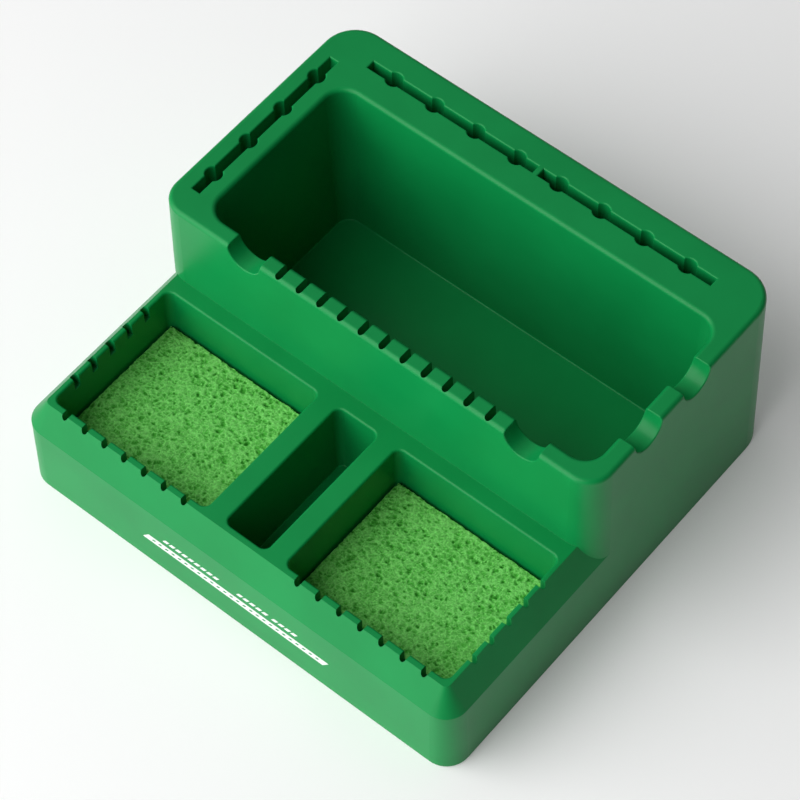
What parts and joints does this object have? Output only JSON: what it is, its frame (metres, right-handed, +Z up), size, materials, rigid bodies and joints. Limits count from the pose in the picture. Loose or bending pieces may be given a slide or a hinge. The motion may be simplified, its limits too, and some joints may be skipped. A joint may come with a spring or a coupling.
{
  "type": "soldering iron station organiser",
  "caption": "Moulded bench organiser for soldering tools: a deep rear tub with notched rims and tool slots, and a low front tray with sponge wells.",
  "frame": {"origin": "middle of the footprint, on the underside", "axes": "+X to the user's right, +Y from the tray to the tub at the rear, +Z up"},
  "size_m": [0.17, 0.16, 0.0734],
  "materials": {
    "green_silicone": "satin moulded silicone",
    "sponge": "matte open-cell sponge",
    "white_ink": "matte screen-print ink"
  },
  "bodies": {
    "organiser": {"organiser_body": "green_silicone", "front_print": "white_ink"},
    "left_sponge_block": {"left_sponge": "sponge"},
    "right_sponge_block": {"right_sponge": "sponge"}
  },
  "joints": [
    {"name": "left_sponge_lift", "type": "slide", "parent": "organiser", "child": "left_sponge_block", "axis": [0, 0, 1], "range_m": [0, 0.045]},
    {"name": "right_sponge_lift", "type": "slide", "parent": "organiser", "child": "right_sponge_block", "axis": [0, 0, 1], "range_m": [0, 0.045]}
  ]
}
